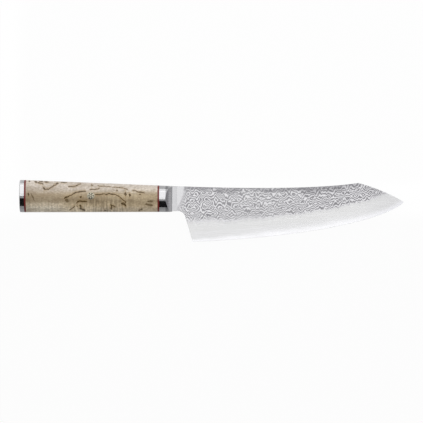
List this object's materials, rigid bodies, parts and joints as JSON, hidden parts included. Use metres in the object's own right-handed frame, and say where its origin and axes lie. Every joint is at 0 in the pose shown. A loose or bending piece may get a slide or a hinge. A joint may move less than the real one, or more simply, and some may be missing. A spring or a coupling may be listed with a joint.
{
  "type": "santoku knife",
  "caption": "Kitchen knife with a tall clad blade, a clipped point and a curved edge, on a D section wooden handle with steel bolster, end cap and a decorative pin.",
  "frame": {"origin": "in the middle of the knife's length and height, on the surface that the flat left side of the handle rests on", "axes": "+X from the butt to the point, +Y from the cutting edge to the spine, +Z out of the right face of the blade"},
  "size_m": [0.3274, 0.0529, 0.0198],
  "materials": {
    "core_steel": "satin",
    "clad_steel": "satin",
    "polished_steel": "polished",
    "bar_steel": "satin",
    "masur_birch": "satin",
    "red_fibre": "satin",
    "bedding_resin": "satin",
    "nickel_silver": "gloss",
    "dark_resin": "satin"
  },
  "bodies": {
    "root": {"blade_core": "core_steel", "cladding_right": "clad_steel", "cladding_left": "clad_steel", "bolster": "polished_steel", "tang": "bar_steel", "tang_bedding": "bedding_resin", "front_spacer": "red_fibre", "handle_wood": "masur_birch", "rear_spacer": "red_fibre", "end_cap": "polished_steel", "pin_tube": "nickel_silver", "pin_resin": "dark_resin", "pin_rod_1": "nickel_silver", "pin_rod_2": "nickel_silver", "pin_rod_3": "nickel_silver", "pin_rod_4": "nickel_silver", "pin_rod_5": "nickel_silver", "pin_rod_6": "nickel_silver", "pin_rod_7": "nickel_silver"}
  },
  "joints": []
}
